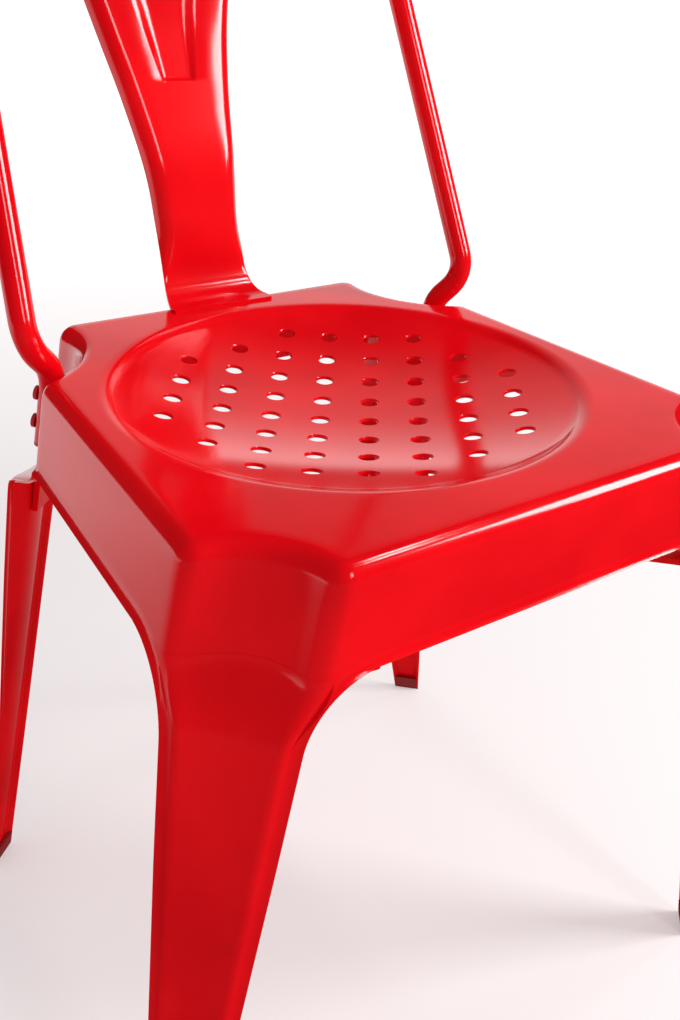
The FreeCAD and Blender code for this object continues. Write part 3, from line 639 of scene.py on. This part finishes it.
def tubeAxis(side, level):
    # The tube's end stands in the rear scoop, clear of its slanting wall
    corner = corners["rear_right"]
    tip = tipAt(1, 1, level)
    scoop = corner["scoop"]
    centre = tip + corner["alongEnd"] * scoop["across"] + corner["alongSide"] * scoop["along"]
    into = Vector((-math.sin(hoop["bearing"]), -math.cos(hoop["bearing"])))
    clear = (hoop["radius"] + hoop["gap"]) * math.hypot(1, chair["draft"])
    place = centre + into * (scoop["radius"] - clear)
    return Vector((side * place.x, place.y, level))


def hoopRoute():
    seatHeight = chair["seatHeight"]
    right = [
        tubeAxis(1, seatHeight - hoop["endDrop"]), tubeAxis(1, seatHeight + hoop["crankLow"]),
        hoopPoint(1, seatHeight + hoop["crankHigh"]), hoopPoint(1, hoop["height"]),
    ]
    bends = right + [Vector((-point.x, point.y, point.z)) for point in reversed(right)]
    radii = [hoop["crankRadius"], hoop["crankRadius"], hoop["topRadius"]]
    radii += radii[::-1]
    route = [bends[0]]
    for here, after, radius in zip(bends[1:-1], bends[2:], radii):
        before = (here - route[-1]).normalized()
        onward = (after - here).normalized()
        halfTurn = before.angle(onward) / 2
        cut = radius * math.tan(halfTurn)
        centre = here + (onward - before).normalized() * radius / math.cos(halfTurn)
        start = here - before * cut
        finish = here + onward * cut
        addRun(route, start)
        toStart = (start - centre).normalized()
        toFinish = (finish - centre).normalized()
        for step in range(1, hoop["arcSteps"] + 1):
            route.append(centre + toStart.slerp(toFinish, step / hoop["arcSteps"]) * radius)
    addRun(route, bends[-1])
    return route


def addRun(route, finish):
    # A straight run in short steps
    start = route[-1]
    steps = max(1, int((finish - start).length / hoop["runLength"]))
    for step in range(1, steps + 1):
        route.append(start.lerp(finish, step / steps))


def buildHoop():
    route = hoopRoute()
    frames = []
    side = Vector((0, 1, 0))
    for index, point in enumerate(route):
        ahead = route[min(index + 1, len(route) - 1)] - route[max(index - 1, 0)]
        ahead.normalize()
        side = (side - ahead * side.dot(ahead)).normalized()
        frames.append((point, side.copy(), ahead.cross(side)))

    def place(column, row):
        point, across, over = frames[row]
        angle = 2 * math.pi * column / hoop["ringSteps"]
        out = across * math.cos(angle) + over * math.sin(angle)
        return point + out * hoop["radius"] + Vector((0, seatMiddle, 0))

    tube = gridPiece("backHoop", hoop["ringSteps"] + 1, len(route), place)
    weldSeams(tube)
    faceOutwards(tube, lambda centre, normal: normal.dot(centre - nearestOn(route, centre)) > 0)
    thicken(tube, hoop["wall"])
    smoothShade(tube, 50)
    return tube


def nearestOn(route, spot):
    placed = [point + Vector((0, seatMiddle, 0)) for point in route]
    return min(placed, key=lambda point: (point - spot).length)


def catmull(points, share):
    # Smooth curve through points whose first value is the share along
    last = len(points) - 1
    index = 0
    while index < last - 1 and points[index + 1][0] < share:
        index += 1
    a, b = points[index], points[index + 1]
    before = points[max(index - 1, 0)]
    after = points[min(index + 2, last)]
    span = b[0] - a[0]
    t = (share - a[0]) / span
    result = []
    for axis in range(1, len(a)):
        leave = (b[axis] - before[axis]) / (b[0] - before[0]) * span
        arrive = (after[axis] - a[axis]) / (after[0] - a[0]) * span
        cube = (2 * t ** 3 - 3 * t ** 2 + 1) * a[axis] + (t ** 3 - 2 * t ** 2 + t) * leave
        result.append(cube + (-2 * t ** 3 + 3 * t ** 2) * b[axis] + (t ** 3 - t ** 2) * arrive)
    return result


def splatEnds():
    # The blade's lower end above the curl, its upper end behind the tube and its direction there
    curl = splat["curlRadius"]
    low = Vector((0, splat["curlStart"] + curl, chair["seatHeight"] + chair["skin"] + curl))
    along = Vector((0, splat["topSlope"], 1)).normalized()
    crown = hoopPoint(1, hoop["height"])
    crown.x = 0
    return low, crown + Vector((0, along.z, -along.y)) * (hoop["radius"] + hoop["gap"]), along


def bladeRows():
    low, high, along = splatEnds()
    tall = high.z - low.z
    guides = []
    for share, behind, widening in splat["stations"]:
        width = mix(splat["neckWidth"], splat["topWidth"], widening)
        guides.append((share, mix(low.y, high.y, share) + behind * mm, width))
    shares = [step / splat["bladeSteps"] for step in range(splat["bladeSteps"] + 1)]
    for mark in (splat["panelLow"], tall - splat["panelHigh"]):
        for step in range(-splat["endRows"], splat["endRows"] + 1):
            shares.append((mark + step * splat["endPitch"]) / tall)
    rows = []
    for share in sorted(shares):
        y, width = catmull(guides, share)
        above = min(share + splat["slopeShare"], 1)
        below = max(share - splat["slopeShare"], 0)
        slope = (catmull(guides, above)[0] - catmull(guides, below)[0]) / ((above - below) * tall)
        up = Vector((0, slope, 1)).normalized()
        point = Vector((0, y, mix(low.z, high.z, share)))
        rows.append({"point": point, "front": Vector((0, -up.z, up.y)), "half": width / 2, "pressed": True})
    # Straight on above the hoop's axis
    last = rows[-1]
    for step in range(1, splat["topSteps"] + 1):
        rows.append(dict(last, point=last["point"] + along * splat["topEdge"] * step / splat["topSteps"]))
    return rows


def footRows(low, half):
    # The curl and the flap, walked from the blade down to the flap's end
    foot = []
    centre = Vector((0, splat["curlStart"], low.z))
    for step in range(1, splat["curlSteps"] + 1):
        share = step / splat["curlSteps"]
        outward = Vector((0, math.cos(math.pi / 2 * share), -math.sin(math.pi / 2 * share)))
        foot.append({
            "point": centre + outward * splat["curlRadius"], "front": -outward,
            "half": mix(half, splat["baseWidth"] / 2, share ** 2), "pressed": False,
        })
    last = foot[-1]
    for step in range(1, splat["flapSteps"] + 1):
        back = splat["flap"] * step / splat["flapSteps"]
        foot.append(dict(last, point=last["point"] - Vector((0, back, 0))))
    return foot


def splatRows():
    # Rows from the flap's end to the top: point, front direction, half width and climb
    rows = bladeRows()
    low = rows[0]["point"]
    rows = footRows(low, rows[0]["half"])[::-1] + rows
    # Climb is how far a row lies up the sheet from where the curl starts on the seat
    rows[0]["climb"] = -splat["flap"]
    for before, row in zip(rows, rows[1:]):
        row["climb"] = before["climb"] + (row["point"] - before["point"]).length
    return rows


def panelShape(level):
    # Half width over the panel's sides, width of one side, and depth, at a level
    low = splatEnds()[0].z + splat["panelLow"]
    high = hoop["height"] - splat["panelHigh"]
    share = min(max((level - low) / (high - low), 0), 1)
    widening = (mix(splat["panelBase"], splat["panelTop"], share) - splat["panelBase"]) / 2
    side = min(splat["panelWall"] + widening * splat["panelSpread"], splat["panelSlope"])
    fromLow = easeInOut((level - low) / splat["panelWall"] + 0.5)
    fromHigh = easeInOut((high - level) / splat["panelWall"] + 0.5)
    rim = splat["panelBase"] / 2 + widening + splat["panelWall"]
    return rim, side, splat["panelDepth"] * fromLow * fromHigh


def splatSection(row):
    # One line across the splat, as places from its middle and depths behind its face
    opening = (row["climb"] - splat["openFrom"]) / (splat["openTo"] - splat["openFrom"])
    roll = math.pi / 2 * easeInOut(opening)  # the rolled edges open out at the foot
    radius = splat["edgeRadius"]
    flat = row["half"] - radius * math.sin(roll)
    rim, side, deep = panelShape(row["point"].z)
    if not row["pressed"]:
        deep = 0
    half = []
    for step in range(splat["insideSteps"]):
        half.append(((rim - side) * step / splat["insideSteps"], deep))
    for step in range(splat["wallSteps"] + 1):
        share = step / splat["wallSteps"]
        half.append((rim - side * (1 - share), deep * (1 - easeInOut(share))))
    for share in (0.5, 1):
        half.append((mix(rim, flat, share), 0))
    for step in range(1, splat["rollSteps"] + 1):
        turn = roll * step / splat["rollSteps"]
        half.append((flat + radius * math.sin(turn), radius * (1 - math.cos(turn))))
    return [(-x, depth) for x, depth in reversed(half[1:])] + half


def buildSplat():
    sections = []
    for row in splatRows():
        middle = row["point"] + Vector((0, seatMiddle, 0))
        line = splatSection(row)
        sections.append([middle + Vector((x, 0, 0)) - row["front"] * depth for x, depth in line])

    def place(column, line):
        return sections[line][column]

    sheet = gridPiece("backSplat", len(sections[0]), len(sections), place)
    trimToHoop(sheet)
    weldSeams(sheet)
    faceOutwards(sheet, lambda centre, normal: normal.y < 0 or normal.z > 0.5)
    thicken(sheet, chair["skin"])
    smoothShade(sheet, 40)
    return sheet


def trimToHoop(sheet):
    # The splat's upper corners follow the tube's shoulders
    limit = hoop["topRadius"] + splat["topEdge"]
    centreLevel = hoop["height"] - hoop["topRadius"]
    centre = hoopPoint(1, hoop["height"]).x - hoop["topRadius"]
    for vertex in sheet.data.vertices:
        spot = vertex.co
        reach = abs(spot.x) - centre
        if spot.z < centreLevel or reach <= 0:
            continue
        over = math.hypot(reach, spot.z - centreLevel) / limit
        if over > 1:
            spot.x = math.copysign(centre + reach / over, spot.x)
            spot.z = centreLevel + (spot.z - centreLevel) / over


# Red enamel over the whole frame, with a faint peel and slow changes of shade
enamel = {
    "colour": (0.80, 0.002, 0.006, 1),
    "shade": (0.66, 0, 0.004, 1),
    "colourFrom": 0.6,
    "shadeTo": 0.35,
    "cloudScale": 9,
    "cloudDetail": 3,
    "roughness": 0.13,
    "peelScale": 260,
    "peelDetail": 2,
    "peelStrength": 0.25,
    "peelHeight": 0.02 * mm,
}


def newMaterial(name):
    material = bpy.data.materials.new(name)
    material.use_nodes = True
    nodes = material.node_tree.nodes
    return material, nodes, material.node_tree.links, nodes["Principled BSDF"]


def redEnamel():
    material, nodes, links, shader = newMaterial("redEnamel")
    place = nodes.new("ShaderNodeTexCoord")
    cloud = nodes.new("ShaderNodeTexNoise")
    cloud.inputs["Scale"].default_value = enamel["cloudScale"]
    cloud.inputs["Detail"].default_value = enamel["cloudDetail"]
    ramp = nodes.new("ShaderNodeValToRGB")
    ramp.color_ramp.elements[0].position = enamel["shadeTo"]
    ramp.color_ramp.elements[0].color = enamel["shade"]
    ramp.color_ramp.elements[1].position = enamel["colourFrom"]
    ramp.color_ramp.elements[1].color = enamel["colour"]
    peel = nodes.new("ShaderNodeTexNoise")
    peel.inputs["Scale"].default_value = enamel["peelScale"]
    peel.inputs["Detail"].default_value = enamel["peelDetail"]
    bump = nodes.new("ShaderNodeBump")
    bump.inputs["Strength"].default_value = enamel["peelStrength"]
    bump.inputs["Distance"].default_value = enamel["peelHeight"]
    links.new(place.outputs["Object"], cloud.inputs["Vector"])
    links.new(place.outputs["Object"], peel.inputs["Vector"])
    links.new(cloud.outputs["Fac"], ramp.inputs["Fac"])
    links.new(ramp.outputs["Color"], shader.inputs["Base Color"])
    links.new(peel.outputs["Fac"], bump.inputs["Height"])
    links.new(bump.outputs["Normal"], shader.inputs["Normal"])
    shader.inputs["Roughness"].default_value = enamel["roughness"]
    return material


# The small parts: grain from a darker to a lighter red
small = {
    "glideRubber": {
        "dark": (0.26, 0.004, 0.006, 1), "light": (0.32, 0.006, 0.008, 1), "rough": 0.65, "scale": 400,
    },
    "plugPlastic": {
        "dark": (0.4, 0.004, 0.006, 1), "light": (0.46, 0.006, 0.008, 1), "rough": 0.45, "scale": 300,
    },
    "paintedZinc": {
        "dark": (0.5, 0.02, 0.02, 1), "light": (0.62, 0.03, 0.03, 1), "rough": 0.3, "scale": 500,
    },
    "bumpStrength": 0.3,
    "bumpHeight": 0.1 * mm,
}


def grainMaterial(name):
    finish = small[name]
    material, nodes, links, shader = newMaterial(name)
    place = nodes.new("ShaderNodeTexCoord")
    grain = nodes.new("ShaderNodeTexNoise")
    grain.inputs["Scale"].default_value = finish["scale"]
    ramp = nodes.new("ShaderNodeValToRGB")
    ramp.color_ramp.elements[0].color = finish["dark"]
    ramp.color_ramp.elements[1].color = finish["light"]
    bump = nodes.new("ShaderNodeBump")
    bump.inputs["Strength"].default_value = small["bumpStrength"]
    bump.inputs["Distance"].default_value = small["bumpHeight"]
    links.new(place.outputs["Object"], grain.inputs["Vector"])
    links.new(grain.outputs["Fac"], ramp.inputs["Fac"])
    links.new(ramp.outputs["Color"], shader.inputs["Base Color"])
    links.new(grain.outputs["Fac"], bump.inputs["Height"])
    links.new(bump.outputs["Normal"], shader.inputs["Normal"])
    shader.inputs["Roughness"].default_value = finish["rough"]
    return material


finishes = {
    "red_enamel": redEnamel(),
    "glide_rubber": grainMaterial("glideRubber"),
    "plug_plastic": grainMaterial("plugPlastic"),
    "zinc_steel": grainMaterial("paintedZinc"),
}


def enamelPiece(item, node):
    item.data.materials.clear()
    item.data.materials.append(finishes["red_enamel"])
    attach(item, "root")
    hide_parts(node)


for entry in frame["record"]["subparts"]:
    node = frame["nodes"][entry["node"]]
    node.data.materials.clear()
    node.data.materials.append(finishes[entry["material_slot"]])
print("Materials ready")

enamelPiece(buildSeat(), "seat_pan")
print("Seat pan built")
for cornerName in corners:
    enamelPiece(buildLeg(cornerName), "leg_" + cornerName)
print("Legs built")
enamelPiece(buildHoop(), "back_hoop")
print("Hoop built")
enamelPiece(buildSplat(), "back_splat")
print("Splat built")


# Camera, fitted to the photograph
view = {
    "azimuth": math.radians(-34.145),
    "elevation": math.radians(29.229),
    "roll": math.radians(2.046),
    "place": Vector((-319.1, -466.7, 685.1)) * mm,
    "focalPixels": 991.6,
    "imageHeight": 1020,
    "sensor": 36,
    "clipStart": 0.01,
}


def addCamera():
    turn, lift, roll = view["azimuth"], view["elevation"], view["roll"]
    back = Vector((math.sin(turn) * math.cos(lift), -math.cos(turn) * math.cos(lift), math.sin(lift)))
    right = Vector((0, 0, 1)).cross(back).normalized()
    up = back.cross(right)
    tiltedRight = right * math.cos(roll) + up * math.sin(roll)
    tiltedUp = up * math.cos(roll) - right * math.sin(roll)
    data = bpy.data.cameras.new("camera")
    data.sensor_width = view["sensor"]
    data.lens = view["focalPixels"] * view["sensor"] / view["imageHeight"]
    data.clip_start = view["clipStart"]
    camera = bpy.data.objects.new("camera", data)
    bpy.context.scene.collection.objects.link(camera)
    pose = Matrix((tiltedRight, tiltedUp, back)).transposed().to_4x4()
    camera.matrix_world = Matrix.Translation(view["place"] + Vector((0, seatMiddle, 0))) @ pose
    bpy.context.scene.camera = camera


# Studio: pale floor, a lit wall behind to the right, two soft boxes and two high lamps
studio = {
    "floorSize": 60,
    "floorColour": (0.55, 0.53, 0.53, 1),
    "floorRough": 0.7,
    "nearGlow": (0.40, 0.38, 0.384, 1),
    "farGlow": (0.985, 0.975, 0.985, 1),
    "glowNear": 0.7,
    "glowFar": 3.2,
    # Painted dark reflection of the floor in front of the chair, seen in the enamel only
    "paintedDarkReflection": (0.012, 0.01, 0.01, 1),
    "dimFront": 0.1,
    "dimRear": 1.0,
    "worldColour": (1, 0.99, 0.985, 1),
    "world": 0.46,
    "seenColour": (0.985, 0.975, 0.985, 1),
    "mirrored": 0.02,
    "wallBearing": 34,
    "wallReach": 2.6,
    "wallWidth": 3.0,
    "wallLow": 0.72,
    "wallHigh": 2.75,
    "wallStrength": 2,
    # Share of the wall's height and its glow there, as a share of the strength
    "wallGlow": [(0, 0.85), (0.16, 0.525), (0.35, 0.25), (0.6, 0.18), (0.85, 0.05), (1, 0.01)],
    "lampReach": 2.2,
    "lamps": [
        {"name": "keyBox", "bearing": 126, "rise": 30, "size": (0.75, 0.9), "glow": 18},
        {"name": "fillBox", "bearing": 176, "rise": 34, "size": (0.35, 0.7), "glow": 9},
        {"name": "highLampLeft", "bearing": 122, "rise": 55, "size": (0.16, 0.16), "glow": 40},
        {"name": "highLampRight", "bearing": 98, "rise": 60, "size": (0.16, 0.16), "glow": 40},
    ],
}


def around(bearing, rise, reach):
    # Bearing runs from +Y towards +X, as seen from above the seat
    turn, lift = math.radians(bearing), math.radians(rise)
    flat = reach * math.cos(lift)
    out = Vector((flat * math.sin(turn), flat * math.cos(turn), reach * math.sin(lift)))
    return out + Vector((0, seatMiddle, chair["seatHeight"]))


def addFloor():
    deselectAll()
    bpy.ops.mesh.primitive_plane_add(size=studio["floorSize"])
    floor = bpy.context.object
    floor.name = "studioFloor"
    material, nodes, links, shader = newMaterial("paleFloor")
    place = nodes.new("ShaderNodeTexCoord")
    reach = nodes.new("ShaderNodeVectorMath")
    reach.operation = "LENGTH"
    far = nodes.new("ShaderNodeMapRange")
    far.inputs["From Min"].default_value = studio["glowNear"]
    far.inputs["From Max"].default_value = studio["glowFar"]
    glow = nodes.new("ShaderNodeMix")
    glow.data_type = "RGBA"
    glow.inputs["A"].default_value = studio["nearGlow"]
    glow.inputs["B"].default_value = studio["farGlow"]
    shader.inputs["Base Color"].default_value = studio["floorColour"]
    shader.inputs["Roughness"].default_value = studio["floorRough"]
    shader.inputs["Specular IOR Level"].default_value = 0
    shader.inputs["Emission Strength"].default_value = 1
    links.new(place.outputs["Object"], reach.inputs[0])
    links.new(reach.outputs["Value"], far.inputs["Value"])
    links.new(far.outputs["Result"], glow.inputs["Factor"])
    links.new(glow.outputs["Result"], shader.inputs["Emission Color"])
    # Painted dark reflection: seen in the enamel, the floor turns to a dark glow in front of the chair
    parts = nodes.new("ShaderNodeSeparateXYZ")
    dim = nodes.new("ShaderNodeMapRange")
    dim.inputs["From Min"].default_value = studio["dimRear"]
    dim.inputs["From Max"].default_value = studio["dimFront"]
    path = nodes.new("ShaderNodeLightPath")
    share = nodes.new("ShaderNodeMath")
    share.operation = "MULTIPLY"
    dark = nodes.new("ShaderNodeEmission")
    dark.inputs["Color"].default_value = studio["paintedDarkReflection"]
    blend = nodes.new("ShaderNodeMixShader")
    links.new(place.outputs["Object"], parts.inputs["Vector"])
    links.new(parts.outputs["Y"], dim.inputs["Value"])
    links.new(dim.outputs["Result"], share.inputs[0])
    links.new(path.outputs["Is Glossy Ray"], share.inputs[1])
    links.new(share.outputs["Value"], blend.inputs["Fac"])
    links.new(shader.outputs["BSDF"], blend.inputs[1])
    links.new(dark.outputs["Emission"], blend.inputs[2])
    links.new(blend.outputs["Shader"], nodes["Material Output"].inputs["Surface"])
    floor.data.materials.append(material)


def addWall():
    # Lit wall behind to the right, seen only in the enamel
    deselectAll()
    bpy.ops.mesh.primitive_plane_add(size=1)
    wall = bpy.context.object
    wall.name = "studioWall"
    tall = studio["wallHigh"] - studio["wallLow"]
    turn = math.radians(studio["wallBearing"])
    across = Vector((math.cos(turn), -math.sin(turn), 0)) * studio["wallWidth"]
    foot = Vector((math.sin(turn), math.cos(turn), 0)) * studio["wallReach"]
    foot += Vector((0, seatMiddle, studio["wallLow"]))
    for vertex in wall.data.vertices:
        vertex.co = foot + across * vertex.co.x + Vector((0, 0, tall * (vertex.co.y + 0.5)))
    material, nodes, links, shader = newMaterial("litWall")
    nodes.remove(shader)
    place = nodes.new("ShaderNodeTexCoord")
    parts = nodes.new("ShaderNodeSeparateXYZ")
    rise = nodes.new("ShaderNodeMapRange")
    rise.inputs["From Min"].default_value = studio["wallLow"]
    rise.inputs["From Max"].default_value = studio["wallHigh"]
    ramp = nodes.new("ShaderNodeValToRGB")
    stops = ramp.color_ramp.elements
    while len(stops) < len(studio["wallGlow"]):
        stops.new(0.5)
    for stop, (share, glow) in zip(stops, studio["wallGlow"]):
        stop.position = share
        stop.color = (glow, glow, glow, 1)
    light = nodes.new("ShaderNodeEmission")
    light.inputs["Strength"].default_value = studio["wallStrength"]
    links.new(place.outputs["Object"], parts.inputs["Vector"])
    links.new(parts.outputs["Z"], rise.inputs["Value"])
    links.new(rise.outputs["Result"], ramp.inputs["Fac"])
    path = nodes.new("ShaderNodeLightPath")
    clear = nodes.new("ShaderNodeBsdfTransparent")
    blend = nodes.new("ShaderNodeMixShader")
    links.new(ramp.outputs["Color"], light.inputs["Color"])
    links.new(path.outputs["Is Camera Ray"], blend.inputs["Fac"])
    links.new(light.outputs["Emission"], blend.inputs[1])
    links.new(clear.outputs["BSDF"], blend.inputs[2])
    links.new(blend.outputs["Shader"], nodes["Material Output"].inputs["Surface"])
    wall.data.materials.append(material)


def addWorld():
    world = bpy.data.worlds.new("studioWorld")
    world.use_nodes = True
    bpy.context.scene.world = world
    nodes = world.node_tree.nodes
    links = world.node_tree.links
    soft = nodes["Background"]
    soft.inputs["Color"].default_value = studio["worldColour"]
    soft.inputs["Strength"].default_value = studio["world"]
    seen = nodes.new("ShaderNodeBackground")
    seen.inputs["Color"].default_value = studio["seenColour"]
    mirrored = nodes.new("ShaderNodeBackground")
    mirrored.inputs["Strength"].default_value = studio["mirrored"]
    path = nodes.new("ShaderNodeLightPath")
    dim = nodes.new("ShaderNodeMixShader")
    blend = nodes.new("ShaderNodeMixShader")
    links.new(path.outputs["Is Glossy Ray"], dim.inputs["Fac"])
    links.new(soft.outputs["Background"], dim.inputs[1])
    links.new(mirrored.outputs["Background"], dim.inputs[2])
    links.new(path.outputs["Is Camera Ray"], blend.inputs["Fac"])
    links.new(dim.outputs["Shader"], blend.inputs[1])
    links.new(seen.outputs["Background"], blend.inputs[2])
    links.new(blend.outputs["Shader"], nodes["World Output"].inputs["Surface"])


def addLamps():
    for lamp in studio["lamps"]:
        data = bpy.data.lights.new(lamp["name"], "AREA")
        data.shape = "RECTANGLE"
        data.size, data.size_y = lamp["size"]
        data.energy = lamp["glow"] * math.pi * data.size * data.size_y
        item = bpy.data.objects.new(lamp["name"], data)
        bpy.context.scene.collection.objects.link(item)
        item.location = around(lamp["bearing"], lamp["rise"], studio["lampReach"])
        towards = around(0, 0, 0) - item.location
        item.rotation_euler = towards.to_track_quat("-Z", "Y").to_euler()


addCamera()
addFloor()
addWall()
addWorld()
addLamps()
bpy.context.scene.view_settings.view_transform = "Standard"
print("Camera and studio ready")
